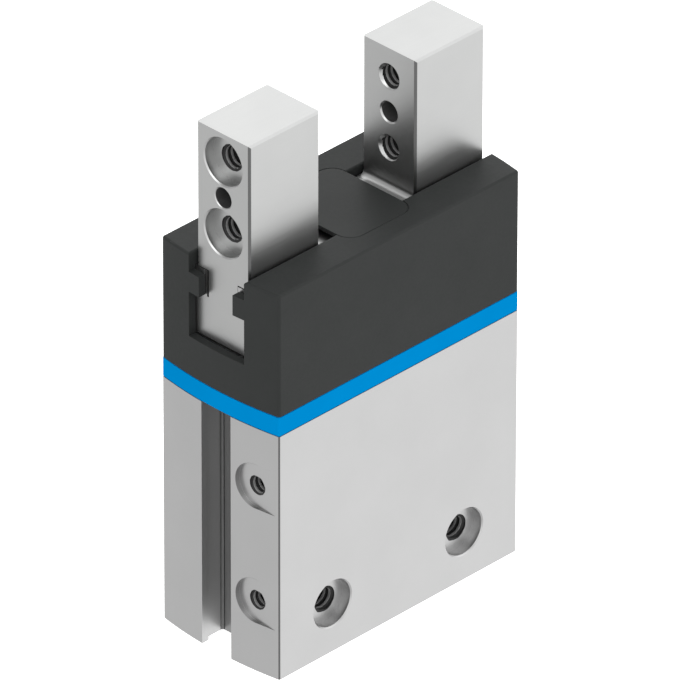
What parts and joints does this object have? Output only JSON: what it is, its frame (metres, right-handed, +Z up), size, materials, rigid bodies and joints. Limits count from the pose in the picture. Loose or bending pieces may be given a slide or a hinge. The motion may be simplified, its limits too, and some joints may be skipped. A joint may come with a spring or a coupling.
{
  "type": "parallel gripper",
  "caption": "Pneumatic parallel gripper: a flat aluminium body with a dark guide cover, a coloured band and opposed sliding steel jaws.",
  "frame": {"origin": "centre of the body's bottom face", "axes": "+Z up the body towards the jaws, X along the jaw travel with the ports on the -X face, Y across the thin side with the wide face that the picture shows at -Y"},
  "size_m": [0.0472, 0.022, 0.0803],
  "materials": {
    "anodised_aluminium": "satin anodised, fine blasted grain",
    "blue_plastic": "smooth satin moulding",
    "dark_plastic": "fine textured moulding",
    "plate_plastic": "smooth satin moulding",
    "ground_steel": "fine ground, semi-bright",
    "hard_steel": "hardened and ground",
    "spring_steel": "phosphated spring steel",
    "bearing_bronze": "sintered, oiled",
    "plain_aluminium": "turned",
    "ferrite": "sintered, dull",
    "guide_plastic": "bearing plastic",
    "seal_rubber": "dull elastomer"
  },
  "bodies": {
    "housing_body": {"housing": "anodised_aluminium", "blue_band": "blue_plastic", "top_cover": "dark_plastic", "centre_plate": "plate_plastic", "lever_pins": "hard_steel", "rod_bush": "bearing_bronze", "rod_seal": "seal_rubber", "end_cushions": "seal_rubber", "bottom_cap": "plain_aluminium", "bottom_cap_oring": "seal_rubber", "retaining_ring": "spring_steel"},
    "left_jaw": {"jaw_left": "ground_steel"},
    "right_jaw": {"jaw_right": "ground_steel"},
    "left_lever": {"lever_left": "hard_steel", "lever_bush_left": "bearing_bronze"},
    "right_lever": {"lever_right": "hard_steel", "lever_bush_right": "bearing_bronze"},
    "piston": {"piston_rod": "hard_steel", "piston_upper_disc": "plain_aluminium", "piston_lower_disc": "plain_aluminium", "piston_magnet": "ferrite", "piston_guide_ring": "guide_plastic", "piston_seals": "seal_rubber", "piston_rod_oring": "seal_rubber", "piston_washer": "hard_steel", "piston_nut": "hard_steel"}
  },
  "joints": [
    {"name": "jaw_left_slide", "type": "slide", "parent": "housing_body", "child": "left_jaw", "axis": [-1, 0, 0], "range_m": [-0.0025, 0.0025]},
    {"name": "jaw_right_slide", "type": "slide", "parent": "housing_body", "child": "right_jaw", "axis": [1, 0, 0], "range_m": [-0.0025, 0.0025]},
    {"name": "piston_slide", "type": "slide", "parent": "housing_body", "child": "piston", "axis": [0, 0, 1], "range_m": [-0.00176, 0.00176]},
    {"name": "lever_left_swing", "type": "hinge", "parent": "housing_body", "child": "left_lever", "pos_m": [-0.0095, 0, 0.041], "axis": [0, -1, 0], "range_deg": [-16.2, 16.2]},
    {"name": "lever_right_swing", "type": "hinge", "parent": "housing_body", "child": "right_lever", "pos_m": [0.0095, 0, 0.041], "axis": [0, 1, 0], "range_deg": [-16.2, 16.2]}
  ],
  "couplings": [
    {"joint": "jaw_right_slide", "follows": "jaw_left_slide", "ratio": 1},
    {"joint": "piston_slide", "follows": "jaw_left_slide", "ratio": 0.7},
    {"joint": "lever_left_swing", "follows": "jaw_left_slide", "rad_per_m": 112.59},
    {"joint": "lever_right_swing", "follows": "jaw_left_slide", "rad_per_m": 112.59}
  ]
}
